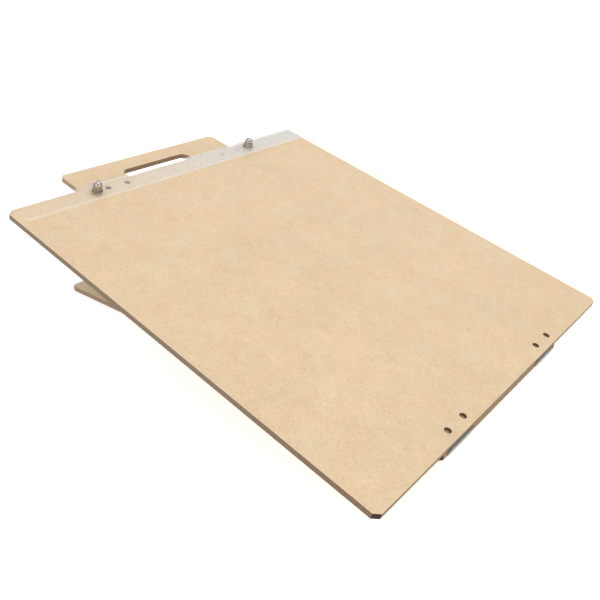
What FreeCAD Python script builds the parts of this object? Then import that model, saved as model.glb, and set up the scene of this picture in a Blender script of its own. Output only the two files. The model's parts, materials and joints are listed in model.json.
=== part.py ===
import FreeCAD, Part
import math
import os
import re
from FreeCAD import Placement, Rotation, Vector
import Sketcher

# A folding slant board: a hardboard writing board hinged along its front edge to a
# narrower base panel, propped by a slotted friction stay at each side, with a
# handle panel behind it and a clear paper clamp held down by two cap nuts.
# Millimetres, +X to the right, +Y to the back, +Z up, origin under the base's middle.

doc = FreeCAD.newDocument("slant_board")
sheet = doc.addObject("Spreadsheet::Sheet", "Sizes")

DRIVING_SIZES = [
    ("board_width", 419.1, "writing board, left to right"),
    ("board_depth", 457.2, "writing board, front to back"),
    ("sheet_thick", 5.8, "hardboard sheet"),
    ("board_corner", 5.0, "clipped corners of the writing board"),
    ("board_setback", 2.7, "hinge axis behind the writing board's front edge"),
    ("tilt_angle", 16.0, "writing board above the base, degrees"),
    ("panel_width", 228.6, "base and handle panel, left to right"),
    ("panel_corner", 4.0, "clipped corners of both panels"),
    ("base_depth", 508.0, "base panel, front to back"),
    ("handle_front", 304.0, "handle panel's front edge from the board's front edge"),
    ("handle_back", 511.5, "handle panel's back edge from the board's front edge"),
    ("grip_width", 97.0, "hand slot, left to right"),
    ("grip_depth", 24.0, "hand slot, front to back"),
    ("grip_corner", 9.0, "corner radius of the hand slot"),
    ("grip_bar", 22.0, "material left behind the hand slot"),
    ("foot_radius", 7.0, "rubber foot"),
    ("foot_thick", 1.5, "rubber foot"),
    ("foot_inset", 20.0, "foot centre from the panel's edges"),
    ("axis_inset", 0.2, "hinge axis behind the base panel's front edge"),
    ("front_corner", 3.3, "clipped front corners of the base panel"),
    ("lip_short", 0.3, "hinge lip above the base panel's underside"),
    ("lip_thick", 0.7, "hinge lip"),
    ("hinge_gap", 5.8, "gap between the base and the board when parallel"),
    ("hinge_width", 38.0, "hinge, along its pin"),
    ("hinge_place", 85.0, "hinge centre from the middle of the board"),
    ("leaf_thick", 1.2, "hinge leaf"),
    ("leaf_depth", 17.0, "hinge leaf from the pin to its free edge"),
    ("knuckle_radius", 2.7, "hinge knuckle"),
    ("knuckle_width", 12.4, "each of the three knuckles"),
    ("pin_radius", 1.3, "hinge pin"),
    ("pin_play", 0.06, "radial play of the pin in the moving knuckle"),
    ("rivet_spacing", 25.0, "two rivets of a hinge leaf"),
    ("rivet_place", 10.0, "hinge rivets behind the board's front edge"),
    ("rivet_radius", 1.6, "rivet shank"),
    ("rivet_head", 2.9, "rivet head radius"),
    ("rivet_head_high", 0.8, "rivet head"),
    ("recess_radius", 3.3, "recess over each rivet in the board"),
    ("recess_deep", 3.4, "depth of that recess"),
    ("spacer_thick", 6.4, "block between the board and the handle panel"),
    ("spacer_depth", 18.0, "the same block, front to back"),
    ("rear_rivet_place", 447.5, "handle panel rivets behind the front edge"),
    ("strip_width", 412.8, "clear clamp strip, left to right"),
    ("strip_shift", 3.1, "its middle to the right of the board's middle"),
    ("strip_depth", 25.4, "clear clamp strip, front to back"),
    ("strip_thick", 3.0, "clear clamp strip"),
    ("strip_corner", 1.5, "corner radius of the clamp strip"),
    ("clamp_place", 114.0, "clamp screw from the middle of the board"),
    ("screw_radius", 3.0, "clamp screw"),
    ("screw_head", 5.6, "clamp screw's countersunk head, radius"),
    ("screw_head_high", 2.6, "clamp screw's countersunk head"),
    ("screw_play", 0.25, "radial play of the strip round the screw"),
    ("nut_play", 0.08, "radial play of the nut's thread on the screw"),
    ("washer_radius", 6.2, "washer under the cap nut"),
    ("washer_thick", 1.0, "washer under the cap nut"),
    ("nut_radius", 5.7, "hexagon of the cap nut, across corners / 2"),
    ("nut_hex_high", 4.4, "hexagon of the cap nut"),
    ("nut_dome", 5.2, "dome radius of the cap nut"),
    ("nut_neck", 0.8, "straight part under the dome"),
    ("stay_upper", 300.0, "stay pivot behind the hinge axis, on the board"),
    ("stay_lower", 100.0, "stay stud behind the hinge axis, on the base"),
    ("stay_drop", 3.9, "pivot and stud below the hinge axis"),
    ("stay_wide", 10.0, "friction stay"),
    ("stay_thick", 1.5, "friction stay"),
    ("stay_gap", 0.4, "between the stay and what is beside it"),
    ("slot_travel", 6.6, "travel of the stud in the stay's slot"),
    ("stud_radius", 2.0, "stud on the base"),
    ("stud_play", 0.5, "play of the stud in the slot, each side"),
    ("bracket_thick", 1.2, "angle bracket"),
    ("bracket_long", 34.0, "angle bracket, front to back"),
    ("bracket_flange", 13.0, "angle bracket's screwed flange"),
    ("bracket_leg", 7.8, "angle bracket's upright leg"),
    ("edge_gap", 0.3, "between the panel's edge and the bracket leg"),
    ("bracket_screws", 20.0, "spacing of the two bracket screws"),
    ("thumb_radius", 5.4, "knurled thumb nut"),
    ("thumb_thick", 7.0, "knurled thumb nut"),
]
for row, (alias, value, note) in enumerate(DRIVING_SIZES, start=1):
    sheet.set(f"A{row}", note)
    sheet.set(f"B{row}", str(value))
    sheet.setAlias(f"B{row}", alias)
doc.recompute()


def size(alias):
    return float(sheet.get(alias))


def bound(formula):
    """Turn a formula of aliases into one that reads the sheet."""
    return re.sub(r"[a-z][a-z_]{3,}", lambda word: "Sizes." + word.group(0), formula)


def bind(thing, **formulas):
    for name, formula in formulas.items():
        thing.setExpression(name, bound(formula))


# --- Frames: the base lies flat, the board is tilted about the hinge axis ---------

HALF_GAP = size("hinge_gap") / 2
TILT = math.radians(size("tilt_angle"))
# The tilted board's top edge reaches this far in front of the base; half of it puts
# the origin under the middle of the whole footprint.
OVERHANG = size("board_setback") * math.cos(TILT) - size("axis_inset") \
    + (HALF_GAP + size("sheet_thick")) * math.sin(TILT)
AXIS_POINT = Vector(0, (OVERHANG - size("base_depth")) / 2 + size("axis_inset"),
                    size("foot_thick") + size("sheet_thick") + HALF_GAP)
TILTED = Rotation(Vector(1, 0, 0), size("tilt_angle"))
BASE_FRAME = Placement(Vector(0, OVERHANG / 2, size("foot_thick")), Rotation())
BASE_AXIS_FRAME = Placement(AXIS_POINT, Rotation())
BOARD_AXIS_FRAME = Placement(AXIS_POINT, TILTED)
BOARD_FRAME = BOARD_AXIS_FRAME * Placement(
    Vector(0, -size("board_setback"), HALF_GAP), Rotation())
ALONG_X = Rotation(Vector(0, 1, 0), 90)

SUB_PARTS = []


def finish_part(thing, label, frame):
    thing.Label = label
    thing.Placement = frame
    SUB_PARTS.append(thing)
    return thing


# --- Part primitives with every size and place read from the sheet ----------------

def place(thing, at):
    for letter, formula in zip("xyz", at):
        thing.setExpression(f"Placement.Base.{letter}", bound(formula))


def box(at, lengths):
    block = doc.addObject("Part::Box", "block")
    bind(block, Length=lengths[0], Width=lengths[1], Height=lengths[2])
    place(block, at)
    return block


def rod(at, radius, length, turned=Rotation()):
    cylinder = doc.addObject("Part::Cylinder", "rod")
    bind(cylinder, Radius=radius, Height=length)
    cylinder.Placement = Placement(Vector(), turned)
    place(cylinder, at)
    return cylinder


def cone(at, lower, upper, length):
    taper = doc.addObject("Part::Cone", "taper")
    bind(taper, Radius1=lower, Radius2=upper, Height=length)
    place(taper, at)
    return taper


def fuse(pieces):
    joined = doc.addObject("Part::MultiFuse", "joined")
    joined.Shapes = pieces
    joined.Refine = True
    return joined


def cut(body, tools):
    left = doc.addObject("Part::Cut", "left")
    left.Base = body
    left.Tool = tools[0] if len(tools) == 1 else fuse(tools)
    return left


def group(pieces):
    together = doc.addObject("Part::Compound", "together")
    together.Links = pieces
    return together


# --- Sheet pieces: a padded outline with rounded corners, slots and holes ----------

def origin_plane(body, role):
    return next(item for item in body.Origin.OriginFeatures if item.Role == role)


def new_sketch(body, name):
    sketch = body.newObject("Sketcher::SketchObject", name)
    sketch.AttachmentSupport = [(origin_plane(body, "XY_Plane"), "")]
    sketch.MapMode = "FlatFace"
    return sketch


def draw_rectangle(sketch, left, front, width, depth):
    """A rectangle held by its left front corner, its width and its depth."""
    corners = [Vector(0, 0, 0), Vector(9, 0, 0), Vector(9, 9, 0), Vector(0, 9, 0)]
    for start, end in zip(corners, corners[1:] + corners[:1]):
        sketch.addGeometry(Part.LineSegment(start, end), False)
    for line, kind in enumerate(("Horizontal", "Vertical", "Horizontal", "Vertical")):
        sketch.addConstraint(Sketcher.Constraint("Coincident", line, 2, (line + 1) % 4, 1))
        sketch.addConstraint(Sketcher.Constraint(kind, line))
    rules = (("DistanceX", -1, 1, 0, 1, left), ("DistanceY", -1, 1, 0, 1, front),
             ("DistanceX", 0, 1, 0, 2, width), ("DistanceY", 1, 1, 1, 2, depth))
    for kind, first, first_end, second, second_end, formula in rules:
        index = sketch.addConstraint(
            Sketcher.Constraint(kind, first, first_end, second, second_end, 1.0))
        sketch.setExpression(f"Constraints[{index}]", bound(formula))


def draw_circles(sketch, centres, radius):
    for centre_x, centre_y in centres:
        circle = sketch.addGeometry(
            Part.Circle(Vector(1, 1, 0), Vector(0, 0, 1), 1.0), False)
        rules = (Sketcher.Constraint("DistanceX", -1, 1, circle, 3, 1.0),
                 Sketcher.Constraint("DistanceY", -1, 1, circle, 3, 1.0),
                 Sketcher.Constraint("Radius", circle, 1.0))
        for rule, formula in zip(rules, (centre_x, centre_y, radius)):
            index = sketch.addConstraint(rule)
            sketch.setExpression(f"Constraints[{index}]", bound(formula))


def pad(body, sketch, thickness):
    feature = body.newObject("PartDesign::Pad", "thickness")
    feature.Profile = sketch
    feature.setExpression("Length", bound(thickness))
    sketch.Visibility = False
    return feature


def pocket(body, sketch, depth, offset="0 mm"):
    """Cut upwards from the sketch plane, raised by offset."""
    sketch.setExpression("AttachmentOffset.Base.z", bound(offset))
    feature = body.newObject("PartDesign::Pocket", "opening")
    feature.Profile = sketch
    feature.Reversed = True
    feature.setExpression("Length", bound(depth))
    doc.recompute()
    return feature


def dress_corners(body, kind, extent_name, extent, corners):
    """Round or clip the upright edges that stand at the given corners."""
    doc.recompute()
    before = body.Tip
    names = []
    for index, edge in enumerate(before.Shape.Edges, start=1):
        upright = len(edge.Vertexes) == 2 and abs(edge.tangentAt(edge.FirstParameter).z) > 0.99
        if upright and any(math.hypot(edge.Vertexes[0].X - x, edge.Vertexes[0].Y - y) < 0.1
                           for x, y in corners):
            names.append(f"Edge{index}")
    feature = body.newObject(kind, "corners")
    feature.Base = (before, names)
    feature.setExpression(extent_name, bound(extent))
    doc.recompute()


def round_corners(body, radius, corners):
    dress_corners(body, "PartDesign::Fillet", "Radius", radius, corners)


def clip_corners(body, depth, corners):
    dress_corners(body, "PartDesign::Chamfer", "Size", depth, corners)


def box_corners(left, front, width, depth):
    return [(left + dx, front + dy) for dx in (0, width) for dy in (0, depth)]


def sheet_body(label, left, front, width, depth, thickness):
    body = doc.addObject("PartDesign::Body", label)
    outline = new_sketch(body, "outline")
    draw_rectangle(outline, left, front, width, depth)
    pad(body, outline, thickness)
    doc.recompute()
    return body


def drill(body, centres, radius, depth="2*sheet_thick", offset="-1 mm"):
    holes = new_sketch(body, "holes")
    draw_circles(holes, centres, radius)
    pocket(body, holes, depth, offset)


SIDES = (("left", -1), ("right", 1))


def pair(formula):
    return [f"-({formula})", formula]


# The two rivets of each hinge leaf, and the same pattern again at the back.
RIVET_ROW = [f"{side}*hinge_place + {end}*rivet_spacing/2"
             for side in (-1, 1) for end in (-1, 1)]
BRACKET_ENDS = ("-bracket_screws/2", "bracket_screws/2")
BASE_AXIS_Y = "(axis_inset - base_depth/2)"
FLANGE_MIDDLE = "(panel_width/2 - bracket_flange/2)"
BOARD_FLANGE_MIDDLE = "(panel_width/2 + edge_gap + bracket_thick + 2*stay_gap + stay_thick" \
                      " + bracket_flange/2)"


def add_hand_slot(body, back_edge):
    """The long rounded hand slot near the back edge of a panel."""
    slot = new_sketch(body, "hand_slot")
    front = f"{back_edge} - grip_bar - grip_depth"
    draw_rectangle(slot, "-grip_width/2", front, "grip_width", "grip_depth")
    pocket(body, slot, "2*sheet_thick", "-1 mm")
    width, depth = size("grip_width"), size("grip_depth")
    back = body.evalExpression(bound(back_edge))
    front_value = float(getattr(back, "Value", back)) - size("grip_bar") - depth
    round_corners(body, "grip_corner", box_corners(-width / 2, front_value, width, depth))


# --- Writing board ----------------------------------------------------------------

def make_writing_board():
    body = sheet_body("writing_board", "-board_width/2", "0 mm", "board_width",
                      "board_depth", "sheet_thick")
    width, depth = size("board_width"), size("board_depth")
    clip_corners(body, "board_corner", box_corners(-width / 2, 0, width, depth))
    rows = ("rivet_place", "rear_rivet_place")
    rivets = [(x, y) for y in rows for x in RIVET_ROW]
    drill(body, rivets, "rivet_radius + 0.05")
    drill(body, rivets, "recess_radius", "sheet_thick", "sheet_thick - recess_deep")
    screws = [(x, "board_depth - strip_depth/2") for x in pair("clamp_place")]
    drill(body, screws, "screw_radius")
    ends = [f"board_setback + stay_upper + {end}" for end in BRACKET_ENDS]
    bracket = [(x, y) for x in pair(BOARD_FLANGE_MIDDLE) for y in ends]
    drill(body, bracket, "rivet_radius", "sheet_thick - recess_deep + 1", "-1 mm")
    countersink(body, screws)
    return finish_part(body, "writing_board", BOARD_FRAME)


def countersink(body, screws):
    """Seats for the clamp screws' heads, level with the underside."""
    drill(body, screws, "screw_head + 0.02", "screw_head_high + 1", "-1 mm")


# --- Base panel, handle panel, their blocks and feet --------------------------------

def make_base_panel():
    body = sheet_body("base_panel", "-panel_width/2", "-base_depth/2", "panel_width",
                      "base_depth", "sheet_thick")
    width, depth = size("panel_width"), size("base_depth")
    clip_corners(body, "panel_corner", box_corners(-width / 2, -depth / 2, width, depth)[1::2])
    clip_corners(body, "front_corner", box_corners(-width / 2, -depth / 2, width, depth)[::2])
    add_hand_slot(body, "base_depth/2")
    row = f"{BASE_AXIS_Y} - board_setback + rivet_place"
    drill(body, [(x, row) for x in RIVET_ROW], "rivet_radius + 0.05")
    ends = [f"{BASE_AXIS_Y} + stay_lower + {end}" for end in BRACKET_ENDS]
    drill(body, [(x, y) for x in pair(FLANGE_MIDDLE) for y in ends], "rivet_radius + 0.05")
    return finish_part(body, "base_panel", BASE_FRAME)


def make_handle_panel():
    body = sheet_body("handle_panel", "-panel_width/2", "handle_front", "panel_width",
                      "handle_back - handle_front", "sheet_thick")
    width, front = size("panel_width"), size("handle_front")
    depth = size("handle_back") - front
    clip_corners(body, "panel_corner", box_corners(-width / 2, front, width, depth))
    add_hand_slot(body, "handle_back")
    drill(body, [(x, "rear_rivet_place") for x in RIVET_ROW], "rivet_radius + 0.05")
    below = Placement(Vector(0, 0, -size("spacer_thick") - size("sheet_thick")), Rotation())
    return finish_part(body, "handle_panel", BOARD_FRAME * below)


def make_spacers():
    for name, side in SIDES:
        block = box((f"{side}*hinge_place - hinge_width/2", "rear_rivet_place - spacer_depth/2",
                     "-spacer_thick"), ("hinge_width", "spacer_depth", "spacer_thick"))
        holes = [rod((f"{side}*hinge_place + {end}*rivet_spacing/2", "rear_rivet_place",
                      "-spacer_thick - 1"), "rivet_radius + 0.05", "spacer_thick + 2")
                 for end in (-1, 1)]
        finish_part(cut(block, holes), f"panel_spacer_{name}", BOARD_FRAME)


def make_feet():
    spread_x = "panel_width/2 - foot_inset"
    spread_y = "base_depth/2 - foot_inset"
    feet = [rod((x, y, "-foot_thick"), "foot_radius", "foot_thick")
            for x in pair(spread_x) for y in pair(spread_y)]
    finish_part(group(feet), "base_feet", BASE_FRAME)


# --- Hinges: three knuckles, two on the base leaf and one on the board leaf ----------

def knuckles(side, steps, bore):
    """Bored knuckles at the given steps along the pin."""
    rings = []
    for step in steps:
        start = f"{side}*hinge_place + {step}*hinge_width/3 - knuckle_width/2"
        ring = rod((start, "0 mm", "0 mm"), "knuckle_radius", "knuckle_width", ALONG_X)
        rings.append((ring, rod((f"{start} - 1", "0 mm", "0 mm"), bore,
                                "knuckle_width + 2", ALONG_X)))
    return rings


def make_leaf(label, side, steps, bore, upward, frame):
    """A leaf against its panel; the base's leaf has a lip down over the front edge."""
    level = "hinge_gap/2 - leaf_thick" if upward else "-hinge_gap/2"
    root_front = "0" if upward else "-axis_inset - lip_thick"
    plate = box((f"{side}*hinge_place - hinge_width/2", "1.2*knuckle_radius", level),
                ("hinge_width", "leaf_depth - 1.2*knuckle_radius", "leaf_thick"))
    rings = knuckles(side, steps, bore)
    roots = []
    for step in steps:
        start = f"{side}*hinge_place + {step}*hinge_width/3 - knuckle_width/2"
        roots.append(box((start, root_front, level),
                         ("knuckle_width", f"1.2*knuckle_radius + 0.5 - ({root_front})",
                          "leaf_thick")))
    if not upward:
        roots.append(box((f"{side}*hinge_place - hinge_width/2", root_front,
                          "lip_short - hinge_gap/2 - sheet_thick"),
                         ("hinge_width", "lip_thick", "sheet_thick - lip_short")))
    row = "rivet_place - board_setback"
    holes = [rod((f"{side}*hinge_place + {end}*rivet_spacing/2", row, f"{level} - 1"),
                 "rivet_radius + 0.05", "leaf_thick + 2") for end in (-1, 1)]
    whole = fuse([plate] + roots + [ring for ring, hole in rings])
    finish_part(cut(whole, [hole for ring, hole in rings] + holes), label, frame)


def make_hinges():
    for name, side in SIDES:
        make_leaf(f"hinge_{name}_base_leaf", side, (-1, 1), "pin_radius", False,
                  BASE_AXIS_FRAME)
        make_leaf(f"hinge_{name}_board_leaf", side, (0,), "pin_radius + pin_play", True,
                  BOARD_AXIS_FRAME)
        pin = rod((f"{side}*hinge_place - hinge_width/2", "0 mm", "0 mm"),
                  "pin_radius", "hinge_width", ALONG_X)
        finish_part(group([pin]), f"hinge_{name}_pin", BASE_AXIS_FRAME)


# --- Rivets and bracket screws --------------------------------------------------------

def rivet(x, y, low_head, high_head):
    """A shank with a flat head under low_head and another above high_head."""
    return fuse([rod((x, y, f"{low_head} - rivet_head_high"), "rivet_head", "rivet_head_high"),
                 rod((x, y, low_head), "rivet_radius", f"{high_head} - ({low_head})"),
                 rod((x, y, high_head), "rivet_head", "rivet_head_high")])


def make_rivets():
    recess_floor = "(sheet_thick - recess_deep)"
    front = [rivet(x, "rivet_place", "-leaf_thick", recess_floor) for x in RIVET_ROW]
    finish_part(group(front), "hinge_board_rivets", BOARD_FRAME)
    row = "rivet_place - board_setback"
    base = [rivet_flush(x, row) for x in RIVET_ROW]
    finish_part(group(base), "hinge_base_rivets", BASE_AXIS_FRAME)
    rear = [rivet(x, "rear_rivet_place", "-spacer_thick - sheet_thick", recess_floor)
            for x in RIVET_ROW]
    finish_part(group(rear), "handle_panel_rivets", BOARD_FRAME)


def rivet_flush(x, y):
    """A base rivet: head on the leaf, shank down to the panel's underside."""
    top = "-hinge_gap/2 + leaf_thick"
    return fuse([rod((x, y, "-hinge_gap/2 - sheet_thick"), "rivet_radius",
                     "sheet_thick + leaf_thick"),
                 rod((x, y, top), "rivet_head", "rivet_head_high")])


# --- Paper clamp: clear strip, screws, washers and cap nuts ----------------------------

def make_clamp_strip():
    body = sheet_body("clamp_strip", "strip_shift - strip_width/2",
                      "board_depth - strip_depth", "strip_width", "strip_depth", "strip_thick")
    left = size("strip_shift") - size("strip_width") / 2
    front = size("board_depth") - size("strip_depth")
    round_corners(body, "strip_corner",
                  box_corners(left, front, size("strip_width"), size("strip_depth")))
    centres = [(x, "board_depth - strip_depth/2") for x in pair("clamp_place")]
    drill(body, centres, "screw_radius + screw_play", "2*strip_thick")
    above = Placement(Vector(0, 0, size("sheet_thick")), Rotation())
    finish_part(body, "clamp_strip", BOARD_FRAME * above)


def make_clamp_hardware():
    middle = "board_depth - strip_depth/2"
    strip_top = "(sheet_thick + strip_thick)"
    nut_foot = "(sheet_thick + strip_thick + washer_thick)"
    screw_top = f"({nut_foot} + nut_hex_high + nut_neck)"
    for name, side in SIDES:
        x = f"{side}*clamp_place"
        screw = fuse([rod((x, middle, "0 mm"), "screw_head", "screw_head_high"),
                      rod((x, middle, "0 mm"), "screw_radius", screw_top)])
        finish_part(screw, f"clamp_screw_{name}", BOARD_FRAME)
        ring = cut(rod((x, middle, strip_top), "washer_radius", "washer_thick"),
                   [rod((x, middle, f"{strip_top} - 1"), "screw_radius + screw_play",
                        "washer_thick + 2")])
        finish_part(ring, f"clamp_washer_{name}", BOARD_FRAME)
        finish_part(cap_nut(x, middle, nut_foot), f"cap_nut_{name}", BOARD_FRAME)


def cap_nut(x, y, foot):
    """A chamfered hexagon, a short neck and a round dome over a blind bore."""
    hexagon = doc.addObject("Part::Prism", "hexagon")
    hexagon.Polygon = 6
    bind(hexagon, Circumradius="nut_radius", Height="nut_hex_high")
    place(hexagon, (x, y, foot))
    rounding = doc.addObject("Part::Common", "rounding")
    rounding.Base = hexagon
    rounding.Tool = fuse([cone((x, y, foot), "0.93*nut_radius", "1.14*nut_radius",
                               "nut_hex_high/2"),
                          cone((x, y, f"{foot} + nut_hex_high/2"), "1.14*nut_radius",
                               "0.90*nut_radius", "nut_hex_high/2")])
    dome = doc.addObject("Part::Sphere", "dome")
    bind(dome, Radius="nut_dome")
    place(dome, (x, y, f"{foot} + nut_hex_high + nut_neck"))
    neck = rod((x, y, f"{foot} + nut_hex_high/2"), "nut_dome", "nut_hex_high/2 + nut_neck")
    bore = rod((x, y, f"{foot} - 1"), "screw_radius + nut_play",
               "nut_hex_high + nut_neck + 1.3")
    return cut(fuse([rounding, neck, dome]), [bore])


# --- Friction stays: slotted bars between a bracket on the board and one on the base ---

def stay_line():
    """The stay's length and its fall below the board at rest."""
    upper, lower, drop = size("stay_upper"), size("stay_lower"), size("stay_drop")
    along = upper * math.cos(TILT) + drop * math.sin(TILT) - lower
    rise = upper * math.sin(TILT) - drop * math.cos(TILT) + drop
    return math.hypot(along, rise), math.atan2(rise, along)


def side_plane(side, inner, thickness):
    """X of the lower face of a layer that starts at inner, on either side."""
    return inner if side > 0 else f"-({inner}) - ({thickness})"


BRACKET_PLANE = "panel_width/2 + edge_gap"
STAY_PLANE = f"{BRACKET_PLANE} + bracket_thick + stay_gap"
LEG_PLANE = f"{STAY_PLANE} + stay_thick + stay_gap"


def make_stay(name, side):
    """A slotted bar, drawn flat and stood on edge between pivot and stud."""
    length, fall = stay_line()
    body = doc.addObject("PartDesign::Body", f"stay_{name}")
    outline = new_sketch(body, "outline")
    draw_rectangle(outline, f"-{length} - stay_wide/2 - 1", "-stay_wide/2",
                   f"{length} + stay_wide + 1", "stay_wide")
    pad(body, outline, "stay_thick")
    doc.recompute()
    wide = size("stay_wide")
    left = -length - wide / 2 - 1
    round_corners(body, "0.48*stay_wide", box_corners(left, -wide / 2, wide / 2 - left, wide))
    drill(body, [("0 mm", "0 mm")], "rivet_radius + 0.06", "2*stay_thick")
    half = "(stud_radius + stud_play)"
    slot = new_sketch(body, "slot")
    draw_rectangle(slot, f"-{length} - {half}", f"-{half}",
                   f"slot_travel + 2*{half}", f"2*{half}")
    pocket(body, slot, "2*stay_thick", "-0.5 mm")
    start = -length - size("stud_radius") - size("stud_play")
    high = 2 * (size("stud_radius") + size("stud_play"))
    round_corners(body, "0.95*(stud_radius + stud_play)",
                  box_corners(start, -high / 2, size("slot_travel") + high, high))
    plane_x = size("panel_width") / 2 + size("edge_gap") + size("bracket_thick") \
        + size("stay_gap")
    inner_face = side * plane_x if side > 0 else side * plane_x - size("stay_thick")
    pivot = BOARD_AXIS_FRAME.multVec(Vector(0, size("stay_upper"), -size("stay_drop")))
    on_edge = Rotation(Vector(0, math.cos(fall), math.sin(fall)),
                       Vector(0, -math.sin(fall), math.cos(fall)), Vector(1, 0, 0), "ZXY")
    finish_part(body, f"stay_{name}", Placement(Vector(inner_face, pivot.y, pivot.z), on_edge))


def make_board_bracket(name, side):
    """Flange under the board, leg hanging outside the stay."""
    inner = LEG_PLANE
    top = "hinge_gap/2"
    front = "stay_upper - bracket_long/2"
    flange = box((side_plane(side, inner, "bracket_flange"), front, f"{top} - bracket_thick"),
                 ("bracket_flange", "bracket_long", "bracket_thick"))
    leg = box((side_plane(side, inner, "bracket_thick"), "stay_upper - stay_wide/2",
               "-stay_drop - stay_wide/2"),
              ("bracket_thick", "stay_wide", f"{top} + stay_drop + stay_wide/2"))
    eye = rod((side_plane(side, inner + " - 1", "bracket_thick + 2"), "stay_upper",
               "-stay_drop"), "rivet_radius", "bracket_thick + 2", ALONG_X)
    middle = f"{side}*{BOARD_FLANGE_MIDDLE}"
    holes = [rod((middle, f"stay_upper + {end}", "-1 mm"), "rivet_radius", "9 mm")
             for end in BRACKET_ENDS]
    finish_part(cut(fuse([flange, leg]), [eye] + holes), f"board_bracket_{name}",
                BOARD_AXIS_FRAME)
    pivot = fuse([
        rod((side_plane(side, STAY_PLANE, "stay_thick + stay_gap + bracket_thick + 0.3"),
             "stay_upper", "-stay_drop"), "rivet_radius",
            "stay_thick + stay_gap + bracket_thick + 0.3", ALONG_X),
        rod((side_plane(side, f"{LEG_PLANE} + bracket_thick", "rivet_head_high"),
             "stay_upper", "-stay_drop"), "rivet_head", "rivet_head_high", ALONG_X)])
    finish_part(pivot, f"stay_pivot_{name}", BOARD_AXIS_FRAME)


def make_base_bracket(name, side):
    """Flange on the base, leg down beside the panel's edge, with the stud."""
    floor = "-hinge_gap/2"
    flange = box((side_plane(side, "panel_width/2 - bracket_flange",
                             "bracket_flange + edge_gap + bracket_thick"),
                  "stay_lower - bracket_long/2", floor),
                 ("bracket_flange + edge_gap + bracket_thick", "bracket_long",
                  "bracket_thick"))
    leg = box((side_plane(side, BRACKET_PLANE, "bracket_thick"),
               "stay_lower - bracket_long/2", f"{floor} + bracket_thick - bracket_leg"),
              ("bracket_thick", "bracket_long", "bracket_leg"))
    eye = rod((side_plane(side, f"{BRACKET_PLANE} - 0.2", "bracket_thick + 0.4"),
               "stay_lower", "-stay_drop"), "stud_radius", "bracket_thick + 0.4", ALONG_X)
    holes = [rod((f"{side}*{FLANGE_MIDDLE}", f"stay_lower + {end}", f"{floor} - 1"),
                 "rivet_radius + 0.05", "bracket_thick + 2") for end in BRACKET_ENDS]
    finish_part(cut(fuse([flange, leg]), [eye] + holes), f"base_bracket_{name}",
                BASE_AXIS_FRAME)
    reach = "bracket_thick + 2*stay_gap + stay_thick + thumb_thick - 2"
    stud = rod((side_plane(side, BRACKET_PLANE, reach), "stay_lower", "-stay_drop"),
               "stud_radius", reach, ALONG_X)
    finish_part(group([stud]), f"stay_stud_{name}", BASE_AXIS_FRAME)


def make_thumb_nut(name, side):
    """A round nut with flutes round its rim and a blind bore for the stud."""
    nut = rod((side_plane(side, LEG_PLANE, "thumb_thick"), "stay_lower", "-stay_drop"),
              "thumb_radius", "thumb_thick", ALONG_X)
    bore_start = side_plane(side, f"{LEG_PLANE} - 1", "thumb_thick - 0.6")
    bore = rod((bore_start, "stay_lower", "-stay_drop"), "stud_radius + nut_play",
               "thumb_thick - 0.6", ALONG_X)
    flutes = []
    for step in range(12):
        turn = 30 * step
        flutes.append(rod((side_plane(side, f"{LEG_PLANE} + 1.6", "thumb_thick"),
                           f"stay_lower + (thumb_radius + 0.35)*cos({turn} deg)",
                           f"-stay_drop + (thumb_radius + 0.35)*sin({turn} deg)"),
                          "0.8 mm", "thumb_thick", ALONG_X))
    finish_part(cut(nut, [bore] + flutes), f"thumb_nut_{name}", BASE_AXIS_FRAME)


def make_bracket_screws():
    """Short screws: up into the board, and through the base to its underside."""
    up = "hinge_gap/2 - bracket_thick"
    board = [fuse([rod((x, f"stay_upper + {end}", f"{up} - rivet_head_high"), "rivet_head",
                       "rivet_head_high"),
                   rod((x, f"stay_upper + {end}", up), "rivet_radius",
                       "bracket_thick + sheet_thick - recess_deep - 0.2")])
             for x in pair(BOARD_FLANGE_MIDDLE) for end in BRACKET_ENDS]
    finish_part(group(board), "board_bracket_screws", BOARD_AXIS_FRAME)
    floor = "-hinge_gap/2 + bracket_thick"
    base = [fuse([rod((x, f"stay_lower + {end}", floor), "rivet_head", "rivet_head_high"),
                  rod((x, f"stay_lower + {end}", f"{floor} - bracket_thick - sheet_thick"),
                      "rivet_radius", "bracket_thick + sheet_thick")])
            for x in pair(FLANGE_MIDDLE) for end in BRACKET_ENDS]
    finish_part(group(base), "base_bracket_screws", BASE_AXIS_FRAME)


make_writing_board()
make_base_panel()
make_handle_panel()
make_spacers()
make_feet()
make_hinges()
make_rivets()
make_clamp_strip()
make_clamp_hardware()
for side_name, side_sign in SIDES:
    make_stay(side_name, side_sign)
    make_board_bracket(side_name, side_sign)
    make_base_bracket(side_name, side_sign)
    make_thumb_nut(side_name, side_sign)
make_bracket_screws()

# --- Check and write -------------------------------------------------------------------

doc.recompute()
for thing in doc.Objects:
    if {"Invalid", "Error"} & set(thing.State):
        raise RuntimeError(f"{thing.Name} ({thing.Label}) failed: {thing.State}")
for sub_part in SUB_PARTS:
    if sub_part.Shape.isNull() or not sub_part.Shape.isValid():
        raise RuntimeError(f"{sub_part.Label} has no valid shape")

os.makedirs("parts", exist_ok=True)
for sub_part in SUB_PARTS:
    sub_part.Shape.exportStep(f"parts/{sub_part.Label}.step")
    bounds = sub_part.Shape.BoundBox
    print(f"{sub_part.Label:24s} solids {len(sub_part.Shape.Solids)}"
          f" volume {sub_part.Shape.Volume:10.1f}"
          f" z {bounds.ZMin:7.2f} {bounds.ZMax:7.2f} y {bounds.YMin:8.2f} {bounds.YMax:8.2f}")
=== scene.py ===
import bmesh
import bpy
import json
import math
from mathutils import Matrix, Vector

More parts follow.
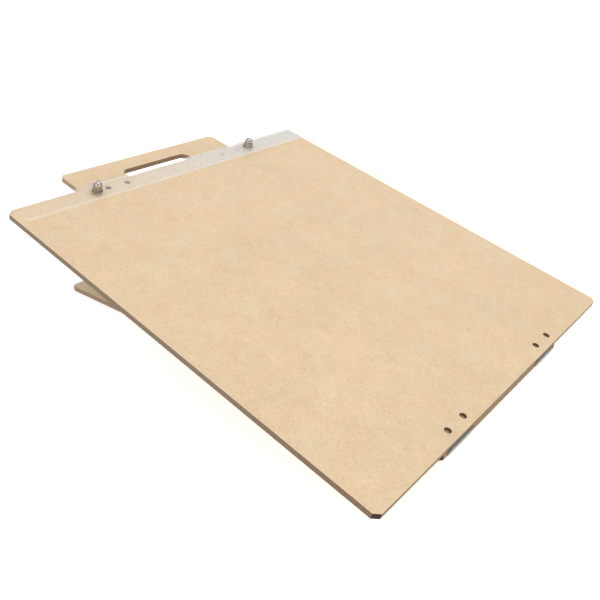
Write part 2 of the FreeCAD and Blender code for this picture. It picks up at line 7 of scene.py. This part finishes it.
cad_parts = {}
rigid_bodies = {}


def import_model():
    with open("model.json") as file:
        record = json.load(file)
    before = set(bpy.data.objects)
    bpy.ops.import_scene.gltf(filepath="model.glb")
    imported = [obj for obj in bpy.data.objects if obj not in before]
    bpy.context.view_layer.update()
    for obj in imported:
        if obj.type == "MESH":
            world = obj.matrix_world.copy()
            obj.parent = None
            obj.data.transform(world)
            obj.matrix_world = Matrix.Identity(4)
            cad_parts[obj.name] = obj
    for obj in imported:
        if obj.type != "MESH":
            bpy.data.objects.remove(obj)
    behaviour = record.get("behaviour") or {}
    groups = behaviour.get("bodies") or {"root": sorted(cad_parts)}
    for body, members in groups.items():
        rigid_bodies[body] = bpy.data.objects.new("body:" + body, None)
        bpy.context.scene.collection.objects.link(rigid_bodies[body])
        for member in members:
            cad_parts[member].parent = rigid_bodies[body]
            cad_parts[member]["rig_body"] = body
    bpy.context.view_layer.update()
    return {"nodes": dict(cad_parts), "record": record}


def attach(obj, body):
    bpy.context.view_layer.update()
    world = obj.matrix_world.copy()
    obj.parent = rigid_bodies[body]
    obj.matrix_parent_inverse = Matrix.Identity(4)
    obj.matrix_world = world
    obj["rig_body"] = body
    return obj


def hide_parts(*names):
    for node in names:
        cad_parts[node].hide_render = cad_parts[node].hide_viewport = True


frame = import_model()
nodes = frame["nodes"]

# --- Table and room -----------------------------------------------------------------
# A wide white light table in an evenly lit white room: it glows faintly, so the board
# stands on a plain bright ground with only a trace of a contact shadow under it.

TABLE_HALF = 12.0
TABLE_DROP = 0.0002
TABLE_GLOW = 0.42
ROOM_LIGHT = 1.02

table_paint = bpy.data.materials.new("table_paint")
table_paint.use_nodes = True
table_shader = table_paint.node_tree.nodes["Principled BSDF"]
table_shader.inputs["Base Color"].default_value = (0.93, 0.93, 0.93, 1)
table_shader.inputs["Roughness"].default_value = 0.85
table_shader.inputs["Specular IOR Level"].default_value = 0.2
table_shader.inputs["Emission Color"].default_value = (1.0, 1.0, 1.0, 1)
table_shader.inputs["Emission Strength"].default_value = TABLE_GLOW

table_mesh = bpy.data.meshes.new("table_top")
table_mesh.from_pydata(
    [(-TABLE_HALF, -TABLE_HALF, -TABLE_DROP), (TABLE_HALF, -TABLE_HALF, -TABLE_DROP),
     (TABLE_HALF, TABLE_HALF, -TABLE_DROP), (-TABLE_HALF, TABLE_HALF, -TABLE_DROP)],
    [], [(0, 1, 2, 3)])
table_top = bpy.data.objects.new("table_top", table_mesh)
table_top.data.materials.append(table_paint)
bpy.context.scene.collection.objects.link(table_top)

world = bpy.data.worlds.new("white_room")
bpy.context.scene.world = world
world.use_nodes = True
world.node_tree.nodes["Background"].inputs["Color"].default_value = (1.0, 1.0, 1.0, 1)
world.node_tree.nodes["Background"].inputs["Strength"].default_value = ROOM_LIGHT


def soft_box(name, place, aim, width, height, power, colour):
    """A large rectangular studio light turned towards a point."""
    light = bpy.data.lights.new(name, "AREA")
    light.shape = "RECTANGLE"
    light.size = width
    light.size_y = height
    light.energy = power
    light.color = colour
    lamp = bpy.data.objects.new(name, light)
    lamp.location = place
    lamp.rotation_euler = (Vector(aim) - Vector(place)).to_track_quat("-Z", "Y").to_euler()
    bpy.context.scene.collection.objects.link(lamp)


BOARD_MIDDLE = (0, 0, 0.05)
NUT_MIDDLE = (0, 0.17, 0.15)
soft_box("key_light", (0.7, -0.6, 1.7), BOARD_MIDDLE, 1.4, 1.4, 8, (1.0, 0.985, 0.96))
soft_box("left_fill", (-1.6, -0.8, 1.0), BOARD_MIDDLE, 1.2, 1.0, 5, (0.96, 0.98, 1.0))
soft_box("back_light", (0.2, 1.9, 0.9), (0, 0.1, 0.1), 1.6, 0.7, 5, (1.0, 1.0, 1.0))

# Dark flags stand outside the view. Only reflections see them, so the polished steel
# gets the dark bands that it shows in any real room.
flag_cloth = bpy.data.materials.new("flag_cloth")
flag_cloth.use_nodes = True
flag_shader = flag_cloth.node_tree.nodes["Principled BSDF"]
flag_shader.inputs["Base Color"].default_value = (0.010, 0.009, 0.008, 1)
flag_shader.inputs["Roughness"].default_value = 1.0


def flag(name, place, aim, width, height):
    """A black card turned towards a point, seen by reflections alone."""
    mesh = bpy.data.meshes.new(name)
    mesh.from_pydata([(-width / 2, -height / 2, 0), (width / 2, -height / 2, 0),
                      (width / 2, height / 2, 0), (-width / 2, height / 2, 0)],
                     [], [(0, 1, 2, 3)])
    mesh.materials.append(flag_cloth)
    card = bpy.data.objects.new(name, mesh)
    card.location = place
    card.rotation_euler = (Vector(aim) - Vector(place)).to_track_quat("-Z", "Y").to_euler()
    bpy.context.scene.collection.objects.link(card)
    card.visible_camera = False
    card.visible_diffuse = False
    card.visible_shadow = False
    card.visible_transmission = False


flag("front_flag", (-0.9, -1.5, 0.9), NUT_MIDDLE, 1.5, 0.55)
flag("left_flag", (-1.7, 0.5, 0.5), NUT_MIDDLE, 1.0, 0.5)
flag("right_flag", (1.6, -0.3, 0.6), NUT_MIDDLE, 0.8, 0.6)
flag("back_flag", (0.6, 1.9, 0.35), NUT_MIDDLE, 1.8, 0.35)

# The camera looks down over the board's left front corner.
camera_data = bpy.data.cameras.new("camera")
camera_data.sensor_width = 36.0
camera_data.lens = 41.47
camera_data.clip_start = 0.01
camera = bpy.data.objects.new("camera", camera_data)
bpy.context.scene.collection.objects.link(camera)
camera.location = (-0.5103, -0.4485, 0.3647)
to_right = Vector((0.64415, -0.76467, -0.01876))
to_front = Vector((0.67709, 0.58144, -0.45108)).normalized()
to_right = (to_right - to_right.dot(to_front) * to_front).normalized()
turned = Matrix((to_right, to_right.cross(to_front), -to_front)).transposed()
camera.rotation_euler = turned.to_euler()
bpy.context.scene.camera = camera
bpy.context.scene.view_settings.view_transform = "Standard"


# --- Hardboard sheet: writing board, base panel, handle panel and spacer blocks --------
# Pressed wood-fibre sheet, about 6 mm, smooth and tan on its faces with short matted
# fibres and a few dark flecks. The sawn edges show the darker core in thin layers, the sides
# are browner towards the front, and the forward-facing front corner facets get a painted shade.

def link(tree, source, target):
    tree.links.new(source, target)


def math_node(tree, operation, first, second=None, third=None):
    node = tree.nodes.new("ShaderNodeMath")
    node.operation = operation
    for socket, value in zip(node.inputs, (first, second, third)):
        if value is None:
            continue
        if isinstance(value, (int, float)):
            socket.default_value = value
        else:
            link(tree, value, socket)
    return node.outputs[0]


def ramp(tree, factor, low, high, start=0.0, end=1.0):
    """A colour ramp of two stops."""
    node = tree.nodes.new("ShaderNodeValToRGB")
    node.color_ramp.elements[0].position = start
    node.color_ramp.elements[0].color = (*low, 1)
    node.color_ramp.elements[1].position = end
    node.color_ramp.elements[1].color = (*high, 1)
    link(tree, factor, node.inputs["Fac"])
    return node.outputs["Color"]


def mix(tree, factor, first, second, blend="MIX"):
    node = tree.nodes.new("ShaderNodeMix")
    node.data_type = "RGBA"
    node.blend_type = blend
    for socket, value in ((node.inputs["Factor"], factor), (node.inputs[6], first),
                          (node.inputs[7], second)):
        if isinstance(value, tuple):
            socket.default_value = (*value, 1)
        elif isinstance(value, (int, float)):
            socket.default_value = value
        else:
            link(tree, value, socket)
    return node.outputs[2]


def clamped(tree, value):
    node = tree.nodes.new("ShaderNodeClamp")
    link(tree, value, node.inputs["Value"])
    return node.outputs["Result"]


def noise(tree, vector, scale, detail=3.0, roughness=0.55, distortion=0.0):
    node = tree.nodes.new("ShaderNodeTexNoise")
    node.inputs["Scale"].default_value = scale
    node.inputs["Detail"].default_value = detail
    node.inputs["Roughness"].default_value = roughness
    node.inputs["Distortion"].default_value = distortion
    link(tree, vector, node.inputs["Vector"])
    return node.outputs["Fac"]


def stretched(tree, vector, scales, turn=0.0):
    node = tree.nodes.new("ShaderNodeMapping")
    node.inputs["Scale"].default_value = scales
    node.inputs["Rotation"].default_value = (0, 0, turn)
    link(tree, vector, node.inputs["Vector"])
    return node.outputs["Vector"]


def new_group(name, inputs, outputs):
    """A shader node group with float and vector sockets."""
    group = bpy.data.node_groups.new(name, "ShaderNodeTree")
    kinds = {float: "NodeSocketFloat", Vector: "NodeSocketVector"}
    for socket_name, kind in inputs:
        group.interface.new_socket(socket_name, in_out="INPUT", socket_type=kinds[kind])
    for socket_name, kind in outputs:
        group.interface.new_socket(socket_name, in_out="OUTPUT", socket_type=kinds[kind])
    start = group.nodes.new("NodeGroupInput")
    end = group.nodes.new("NodeGroupOutput")
    return group, start, end


def place_group(tree, group, **values):
    node = tree.nodes.new("ShaderNodeGroup")
    node.node_tree = group
    for name, value in values.items():
        socket = node.inputs[name.replace("_", " ").title()]
        if isinstance(value, (int, float)):
            socket.default_value = value
        else:
            link(tree, value, socket)
    return node


def fibre_group():
    """Matted fibres of a pressed sheet: a shade, a fleck mask and a height."""
    tree, start, end = new_group(
        "pressed_fibres", [("Place", Vector), ("Fleck Amount", float)],
        [("Shade", float), ("Flecks", float), ("Height", float)])
    place = start.outputs["Place"]
    cloud = noise(tree, place, 14.0, 4.0, 0.5)
    patch = noise(tree, place, 75.0, 3.0, 0.6, 0.4)
    strands = [noise(tree, stretched(tree, place, (1.0, 0.60, 1.0), turn), 480.0, 4.0, 0.75, 0.6)
               for turn in (0.35, 1.5, 2.5)]
    matted = math_node(tree, "MAXIMUM", math_node(tree, "MAXIMUM", strands[0], strands[1]),
                       strands[2])
    fine = noise(tree, place, 2600.0, 2.0, 0.7)
    shade = math_node(tree, "MULTIPLY_ADD", cloud, 0.12,
                      math_node(tree, "MULTIPLY_ADD", patch, 0.18,
                                math_node(tree, "MULTIPLY", matted, 0.70)))
    fleck_noise = noise(tree, stretched(tree, place, (1.0, 0.45, 1.0), 0.9), 420.0, 2.0, 0.5)
    limit = math_node(tree, "SUBTRACT", 0.76, math_node(tree, "MULTIPLY",
                                                        start.outputs["Fleck Amount"], 0.10))
    flecks = math_node(tree, "MULTIPLY", math_node(tree, "SUBTRACT", fleck_noise, limit), 9.0)
    height = math_node(tree, "MULTIPLY_ADD", matted, 0.7, math_node(tree, "MULTIPLY", fine, 0.3))
    link(tree, shade, end.inputs["Shade"])
    link(tree, clamped(tree, flecks), end.inputs["Flecks"])
    link(tree, height, end.inputs["Height"])
    return tree


def sawn_edge_group():
    """The core of the sheet where it was sawn: layers along the edge and saw marks."""
    tree, start, end = new_group(
        "sawn_edge", [("Place", Vector), ("Layer", float)], [("Shade", float), ("Height", float)])
    place = start.outputs["Place"]
    combine = tree.nodes.new("ShaderNodeCombineXYZ")
    link(tree, start.outputs["Layer"], combine.inputs["Z"])
    layers = noise(tree, stretched(tree, combine.outputs["Vector"], (1, 1, 900.0)), 1.0, 3.0)
    wisps = noise(tree, stretched(tree, place, (1.0, 1.0, 4.5)), 420.0, 3.0, 0.6, 0.5)
    marks = noise(tree, place, 1500.0, 2.0, 0.6)
    shade = math_node(tree, "MULTIPLY_ADD", layers, 0.45,
                      math_node(tree, "MULTIPLY_ADD", wisps, 0.35,
                                math_node(tree, "MULTIPLY", marks, 0.20)))
    link(tree, shade, end.inputs["Shade"])
    link(tree, math_node(tree, "MULTIPLY_ADD", wisps, 0.6, math_node(tree, "MULTIPLY", marks, 0.4)),
         end.inputs["Height"])
    return tree


pressed_fibres = fibre_group()
sawn_edge = sawn_edge_group()
FACE_LIGHT = (0.735, 0.572, 0.384)
FACE_DARK = (0.500, 0.375, 0.234)
FLECK = (0.400, 0.255, 0.130)
CORE_LIGHT = (0.255, 0.183, 0.115)
CORE_DARK = (0.105, 0.068, 0.038)
writing_face = next(mount for mount in frame["record"]["mounts"]
                    if mount["name"] == "writing_face")
BOARD_TILT = math.atan2(-writing_face["axis"][1], writing_face["axis"][2])
FACE_START = 0.80
FACE_FALL = 8.0

# The sides of the board grow browner towards the front, and only the small facets of
# the front corners, beyond CORNER_START, get a painted shade: they are painted near-black where
# they face forward.
CORNER_PAINTED_SHADE = (0.022, 0.011, 0.007)
FRONT_SIDE_BROWN = (0.150, 0.078, 0.040)
FRONT_BROWN_RISE = 3.0
FRONT_BROWN_START = -0.20
FRONT_BROWN_SIDE = 0.19
CORNER_START = 0.104
CORNER_FALL = 8.0
CORNER_OFFSET = -2.6
CORNER_EDGE = 2000.0


def hardboard(name, tilt, fleck_amount, face_tone, core_tone):
    """Hardboard whose faces lie at the given tilt; its sides show the sawn core."""
    material = bpy.data.materials.new(name)
    material.use_nodes = True
    tree = material.node_tree
    shader = tree.nodes["Principled BSDF"]
    coordinates = tree.nodes.new("ShaderNodeTexCoord")
    level = tree.nodes.new("ShaderNodeVectorRotate")
    level.rotation_type = "X_AXIS"
    level.inputs["Angle"].default_value = -tilt
    link(tree, coordinates.outputs["Object"], level.inputs["Vector"])
    upright = tree.nodes.new("ShaderNodeVectorMath")
    upright.operation = "DOT_PRODUCT"
    upright.inputs[1].default_value = (0, -math.sin(tilt), math.cos(tilt))
    link(tree, coordinates.outputs["Normal"], upright.inputs[0])
    facing = math_node(tree, "ABSOLUTE", upright.outputs["Value"])
    on_face = math_node(tree, "MULTIPLY", math_node(tree, "SUBTRACT", facing, FACE_START),
                        FACE_FALL)
    face_mask = clamped(tree, on_face)

    fibres = place_group(tree, pressed_fibres, place=level.outputs["Vector"],
                         fleck_amount=fleck_amount)
    separate = tree.nodes.new("ShaderNodeSeparateXYZ")
    link(tree, level.outputs["Vector"], separate.inputs["Vector"])
    core = place_group(tree, sawn_edge, place=level.outputs["Vector"],
                       layer=separate.outputs["Z"])
    face_colour = ramp(tree, fibres.outputs["Shade"], FACE_DARK, FACE_LIGHT, 0.38, 0.74)
    patches = noise(tree, level.outputs["Vector"], 38.0, 2.0, 0.6)
    tint = ramp(tree, patches, (1.045, 1.0, 0.975), (1.01, 1.02, 1.005), 0.38, 0.62)
    face_colour = mix(tree, 1.0, face_colour, tint, "MULTIPLY")
    face_colour = mix(tree, math_node(tree, "MULTIPLY", fibres.outputs["Flecks"], 0.75),
                      face_colour, FLECK)
    face_colour = mix(tree, 1.0, face_colour, (face_tone,) * 3, "MULTIPLY")
    core_colour = ramp(tree, core.outputs["Shade"], CORE_DARK, CORE_LIGHT, 0.32, 0.66)
    core_colour = mix(tree, 1.0, core_colour, (core_tone,) * 3, "MULTIPLY")
    normal = tree.nodes.new("ShaderNodeSeparateXYZ")
    link(tree, coordinates.outputs["Normal"], normal.inputs["Vector"])
    # Painted shade: facets facing front-left and front-right, beyond CORNER_START, are painted
    # near-black.
    corner = math_node(tree, "MULTIPLY", math_node(tree, "ABSOLUTE", normal.outputs["X"]),
                       math_node(tree, "MULTIPLY", normal.outputs["Y"], -1.0))
    corner = clamped(tree, math_node(tree, "MULTIPLY_ADD", corner, CORNER_FALL,
                                     CORNER_OFFSET))
    outer = math_node(tree, "SUBTRACT", math_node(tree, "ABSOLUTE", separate.outputs["X"]),
                      CORNER_START)
    corner = math_node(tree, "MULTIPLY", corner,
                       clamped(tree, math_node(tree, "MULTIPLY", outer, CORNER_EDGE)))
    # The sides are mixed towards a darker brown the further forward they are.
    front_brown = clamped(tree, math_node(tree, "MULTIPLY_ADD", separate.outputs["Y"],
                                     -FRONT_BROWN_RISE, FRONT_BROWN_START))
    at_side = math_node(tree, "GREATER_THAN",
                        math_node(tree, "ABSOLUTE", separate.outputs["X"]), FRONT_BROWN_SIDE)
    core_colour = mix(tree, math_node(tree, "MULTIPLY", front_brown, at_side), core_colour, FRONT_SIDE_BROWN)
    core_colour = mix(tree, corner, core_colour, CORNER_PAINTED_SHADE)
    link(tree, mix(tree, face_mask, core_colour, face_colour), shader.inputs["Base Color"])
    roughness = math_node(tree, "MULTIPLY_ADD", fibres.outputs["Height"], 0.18,
                          math_node(tree, "MULTIPLY_ADD", face_mask, -0.28, 0.68))
    link(tree, roughness, shader.inputs["Roughness"])
    shader.inputs["Specular IOR Level"].default_value = 0.25
    shader.inputs["Sheen Weight"].default_value = 0.04
    height = tree.nodes.new("ShaderNodeMix")
    height.data_type = "FLOAT"
    link(tree, face_mask, height.inputs["Factor"])
    link(tree, core.outputs["Height"], height.inputs[2])
    link(tree, math_node(tree, "MULTIPLY", fibres.outputs["Height"], 0.30), height.inputs[3])
    bump = tree.nodes.new("ShaderNodeBump")
    bump.inputs["Strength"].default_value = 0.45
    bump.inputs["Distance"].default_value = 0.00035
    link(tree, height.outputs[0], bump.inputs["Height"])
    link(tree, bump.outputs["Normal"], shader.inputs["Normal"])
    return material


nodes_slot = {entry["node"]: entry["material_slot"] for entry in frame["record"]["subparts"]}


def eased(node, piece_name, body, width, segments=2):
    """A copy of a CAD piece with its sharp edges sanded round, which stands for it."""
    source = nodes[node]
    mesh = source.data.copy()
    mesh.materials.clear()
    work = bmesh.new()
    work.from_mesh(mesh)
    bmesh.ops.remove_doubles(work, verts=work.verts, dist=1e-6)
    bmesh.ops.dissolve_limit(work, angle_limit=math.radians(0.5), verts=work.verts,
                             edges=work.edges, delimit=set())
    work.to_mesh(mesh)
    work.free()
    piece = bpy.data.objects.new(piece_name, mesh)
    bpy.context.scene.collection.objects.link(piece)
    bevel = piece.modifiers.new("eased_edges", "BEVEL")
    bevel.width = width
    bevel.segments = segments
    bevel.limit_method = "ANGLE"
    bevel.angle_limit = math.radians(35)
    for polygon in mesh.polygons:
        polygon.use_smooth = True
    level = piece.modifiers.new("level_faces", "WEIGHTED_NORMAL")
    level.mode = "FACE_AREA"
    level.weight = 100
    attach(piece, body)
    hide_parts(node)
    return piece


board_sheet = hardboard("hardboard_tilted", BOARD_TILT, 0.9, 1.0, 1.0)
handle_sheet = hardboard("hardboard_handle", BOARD_TILT, 0.5, 0.985, 1.6)
# The base panel's face tone of 0.70 is a painted shade from the board lying above it.
base_sheet = hardboard("hardboard_level_painted_shade", 0.0, 0.5, 0.70, 1.3)
EASED_EDGE = 0.0006

writing_board = eased("writing_board", "writing_board_sheet", "board", EASED_EDGE)
handle_panel = eased("handle_panel", "handle_panel_sheet", "board", EASED_EDGE)
base_panel = eased("base_panel", "base_panel_sheet", "base", EASED_EDGE)
writing_board.data.materials.append(board_sheet)
handle_panel.data.materials.append(handle_sheet)
base_panel.data.materials.append(base_sheet)
for side in ("left", "right"):
    block = eased(f"panel_spacer_{side}", f"panel_spacer_{side}_block", "board", 0.0004)
    block.data.materials.append(board_sheet)


# --- Clear clamp strip ---------------------------------------------------------------
# A 3 mm strip of clear acrylic, drawn part-transparent, whose whitish polished front edges carry a
# painted highlight and whose top carries a painted grey reflection that grows to the right. It lies
# on the back of the board and holds paper once the two nuts are turned down.

strip_ends = [vertex.co.x for vertex in nodes["clamp_strip"].data.vertices]
STRIP_LENGTH = max(strip_ends) - min(strip_ends)
# Painted reflection: the top face goes from nearly clear at the left to a grey film at the right,
# standing for the bright room mirrored at a grazing angle. The front faces are whitish, partly the
# edge's own colour and partly a painted highlight.
FACE_REFLECTION_ALPHA = (0.08, 0.66)
EDGE_WHITE_HIGHLIGHT_ALPHA = 0.55
FACE_REFLECTION_GREY = (0.535, 0.53, 0.50)
EDGE_WHITE_HIGHLIGHT = (0.83, 0.82, 0.80)


def clear_acrylic():
    """Clear sheet with a painted grey reflection on its top that grows to the right, and whitish
    front sides with a painted highlight.
    """
    material = bpy.data.materials.new("clear_acrylic")
    material.use_nodes = True
    tree = material.node_tree
    shader = tree.nodes["Principled BSDF"]
    coordinates = tree.nodes.new("ShaderNodeTexCoord")
    upright = tree.nodes.new("ShaderNodeVectorMath")
    upright.operation = "DOT_PRODUCT"
    upright.inputs[1].default_value = (0, -math.sin(BOARD_TILT), math.cos(BOARD_TILT))
    link(tree, coordinates.outputs["Normal"], upright.inputs[0])
    on_top = clamped(tree, math_node(tree, "MULTIPLY_ADD", upright.outputs["Value"], 4.0, -3.0))
    forward = tree.nodes.new("ShaderNodeVectorMath")
    forward.operation = "DOT_PRODUCT"
    forward.inputs[1].default_value = (0, -math.cos(BOARD_TILT), -math.sin(BOARD_TILT))
    link(tree, coordinates.outputs["Normal"], forward.inputs[0])
    on_front = clamped(tree, math_node(tree, "MULTIPLY_ADD", forward.outputs["Value"], 3.0, -1.2))
    separate = tree.nodes.new("ShaderNodeSeparateXYZ")
    link(tree, coordinates.outputs["Object"], separate.inputs["Vector"])
    along = tree.nodes.new("ShaderNodeMapRange")
    along.interpolation_type = "SMOOTHSTEP"
    half_strip = STRIP_LENGTH / 2
    for name, value in (("From Min", -half_strip), ("From Max", half_strip),
                        ("To Min", FACE_REFLECTION_ALPHA[0]), ("To Max", FACE_REFLECTION_ALPHA[1])):
        along.inputs[name].default_value = value
    link(tree, separate.outputs["X"], along.inputs["Value"])
    scuffs = noise(tree, stretched(tree, coordinates.outputs["Object"], (0.15, 1.0, 1.0), 0.2),
                   900.0, 3.0, 0.7, 0.6)
    rough = math_node(tree, "MULTIPLY", math_node(tree, "POWER", scuffs, 3.0), 0.22)
    link(tree, math_node(tree, "ADD", rough, 0.03), shader.inputs["Roughness"])
    # Front faces get the whitish edge with a painted highlight; the top face gets the painted grey
    # reflection.
    link(tree, mix(tree, on_front, FACE_REFLECTION_GREY, EDGE_WHITE_HIGHLIGHT),
         shader.inputs["Base Color"])
    reflection_alpha = math_node(tree, "MULTIPLY", on_top, along.outputs["Result"])
    link(tree, math_node(tree, "MULTIPLY_ADD", on_front, EDGE_WHITE_HIGHLIGHT_ALPHA, reflection_alpha),
         shader.inputs["Alpha"])
    shader.inputs["IOR"].default_value = 1.49
    return material


def lift_underside(piece, normal, gap):
    """Raise a piece's lowest face by a hair, so that light reaches what it lies on."""
    heights = [vertex.co.dot(normal) for vertex in piece.data.vertices]
    for vertex, height in zip(piece.data.vertices, heights):
        if height - min(heights) < gap:
            vertex.co += normal * gap


UNDERSIDE_GAP = 0.0003
clamp_strip = eased("clamp_strip", "clamp_strip_acrylic", "clamp", 0.0004)
lift_underside(clamp_strip, Vector((0, -math.sin(BOARD_TILT), math.cos(BOARD_TILT))),
               UNDERSIDE_GAP)
clamp_strip.data.materials.append(clear_acrylic())
clamp_strip.visible_shadow = False


# --- Steel: chromed nuts and screws, zinc-plated hinges, brackets and stays ------------
# Polished chrome on the cap nuts, screws and thumb nuts; the washers under them are tinted brown, a
# painted reflection of the tan board.
# The hinges, brackets and stays are pressed from zinc-plated sheet; the hinge knuckles are painted
# near-black, a painted shade of the gap, and the rivets in the front recesses and on the handle
# panel are a dull brown, a painted shade of their recesses.

def wear_group():
    """Fine scratches and blotches of handled metal: a shade, a roughness and a height."""
    tree, start, end = new_group(
        "handled_metal", [("Place", Vector), ("Stretch", float)],
        [("Shade", float), ("Scratches", float), ("Height", float)])
    combine = tree.nodes.new("ShaderNodeCombineXYZ")
    separate = tree.nodes.new("ShaderNodeSeparateXYZ")
    link(tree, start.outputs["Place"], separate.inputs["Vector"])
    link(tree, math_node(tree, "DIVIDE", separate.outputs["X"], start.outputs["Stretch"]),
         combine.inputs["X"])
    link(tree, separate.outputs["Y"], combine.inputs["Y"])
    link(tree, separate.outputs["Z"], combine.inputs["Z"])
    blotches = noise(tree, start.outputs["Place"], 160.0, 3.0, 0.5)
    lines = noise(tree, combine.outputs["Vector"], 2800.0, 3.0, 0.7)
    link(tree, blotches, end.inputs["Shade"])
    link(tree, lines, end.inputs["Scratches"])
    height = math_node(tree, "MULTIPLY_ADD", lines, 0.8,
                       math_node(tree, "MULTIPLY", blotches, 0.2))
    link(tree, height, end.inputs["Height"])
    return tree


handled_metal = wear_group()
# Near-black painted shade for the hinge knuckles, standing for the shaded gap around them.
KNUCKLE_PAINTED_SHADE = (0.012, 0.010, 0.009)
KNUCKLE_SHADE_FALL = 2500.0


def plated_steel(name, light, dark, smooth, rough, stretch, bump_depth, painted_shade_above=None,
                 metallic=1.0):
    """Plated steel; above an optional height in metres it is painted near-black, a painted shade.
    """
    material = bpy.data.materials.new(name)
    material.use_nodes = True
    tree = material.node_tree
    shader = tree.nodes["Principled BSDF"]
    shader.inputs["Metallic"].default_value = metallic
    coordinates = tree.nodes.new("ShaderNodeTexCoord")
    wear = place_group(tree, handled_metal, place=coordinates.outputs["Object"],
                       stretch=stretch)
    colour = ramp(tree, wear.outputs["Shade"], dark, light, 0.35, 0.65)
    if painted_shade_above is not None:
        # Painted shade: above the given height the steel turns near-black and non-metallic, with
        # less specular.
        shader.inputs["Specular IOR Level"].default_value = 0.1
        separate = tree.nodes.new("ShaderNodeSeparateXYZ")
        link(tree, coordinates.outputs["Object"], separate.inputs["Vector"])
        knuckle_shade_mask = clamped(tree, math_node(
            tree, "MULTIPLY", math_node(tree, "SUBTRACT", separate.outputs["Z"], painted_shade_above),
            KNUCKLE_SHADE_FALL))
        colour = mix(tree, knuckle_shade_mask, colour, KNUCKLE_PAINTED_SHADE)
        link(tree, math_node(tree, "SUBTRACT", 1.0, knuckle_shade_mask), shader.inputs["Metallic"])
    link(tree, colour, shader.inputs["Base Color"])
    link(tree, math_node(tree, "MULTIPLY_ADD", wear.outputs["Scratches"], rough - smooth,
                         smooth), shader.inputs["Roughness"])
    bump = tree.nodes.new("ShaderNodeBump")
    bump.inputs["Strength"].default_value = 0.3
    bump.inputs["Distance"].default_value = bump_depth
    link(tree, wear.outputs["Height"], bump.inputs["Height"])
    link(tree, bump.outputs["Normal"], shader.inputs["Normal"])
    return material


chrome = plated_steel("chrome_plate", (0.46, 0.44, 0.42), (0.34, 0.32, 0.30), 0.03, 0.12,
                      1.0, 0.00001)
# Brown-tinted chrome for the washers: a painted reflection of the tan board.
chrome_painted_reflection = plated_steel("chrome_painted_reflection", (0.46, 0.37, 0.29), (0.32, 0.24, 0.18), 0.08, 0.25,
                           1.0, 0.00002)
ZINC_PLATE = ((0.31, 0.315, 0.32), (0.22, 0.225, 0.23), 0.26, 0.52, 14.0, 0.00005)
zinc = plated_steel("zinc_plate", *ZINC_PLATE)
# Dull brown for the rivet heads at the front recesses and on the handle panel: a painted shade of
# their recesses.
rivet_painted_recess_shade = plated_steel("rivet_painted_recess_shade", (0.42, 0.31, 0.19), (0.28, 0.20, 0.12), 0.34, 0.60,
                         1.0, 0.00004, metallic=0.2)
KNUCKLE_SHADE_DROP = 0.0022
base_top = max(vertex.co.z for vertex in nodes["base_panel"].data.vertices)
zinc_painted_knuckle_shade = plated_steel("zinc_painted_knuckle_shade", *ZINC_PLATE, base_top - KNUCKLE_SHADE_DROP)
PIECE_PLATING = {"hinge_board_rivets": rivet_painted_recess_shade, "handle_panel_rivets": rivet_painted_recess_shade}
for side in ("left", "right"):
    PIECE_PLATING[f"clamp_washer_{side}"] = chrome_painted_reflection
    for hinge_piece in ("base_leaf", "board_leaf", "pin"):
        PIECE_PLATING[f"hinge_{side}_{hinge_piece}"] = zinc_painted_knuckle_shade

ROLLED_EDGE = 0.00018
TURNED_EDGE = 0.00015

for node_name, slot_name in nodes_slot.items():
    if slot_name == "zinc_steel":
        steel = eased(node_name, node_name + "_plated", nodes[node_name]["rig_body"], ROLLED_EDGE)
        steel.data.materials.append(PIECE_PLATING.get(node_name, zinc))
    elif slot_name == "chromed_steel":
        steel = eased(node_name, node_name + "_chromed", nodes[node_name]["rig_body"], TURNED_EDGE)
        steel.data.materials.append(PIECE_PLATING.get(node_name, chrome))


# --- Rubber feet -----------------------------------------------------------------------
# Four self-adhesive discs of black rubber with a rounded rim and a matt, slightly dusty
# face, stuck near the corners of the base panel's underside.

def foot_rubber():
    material = bpy.data.materials.new("foot_rubber")
    material.use_nodes = True
    tree = material.node_tree
    shader = tree.nodes["Principled BSDF"]
    coordinates = tree.nodes.new("ShaderNodeTexCoord")
    dust = noise(tree, coordinates.outputs["Object"], 240.0, 4.0, 0.6)
    link(tree, ramp(tree, dust, (0.018, 0.018, 0.018), (0.070, 0.068, 0.064), 0.35, 0.75),
         shader.inputs["Base Color"])
    link(tree, math_node(tree, "MULTIPLY_ADD", dust, 0.25, 0.62), shader.inputs["Roughness"])
    bump = tree.nodes.new("ShaderNodeBump")
    bump.inputs["Strength"].default_value = 0.4
    bump.inputs["Distance"].default_value = 0.0001
    link(tree, noise(tree, coordinates.outputs["Object"], 1800.0, 2.0), bump.inputs["Height"])
    link(tree, bump.outputs["Normal"], shader.inputs["Normal"])
    return material


feet = eased("base_feet", "base_feet_rubber", "base", 0.0004, 3)
feet.data.materials.append(foot_rubber())
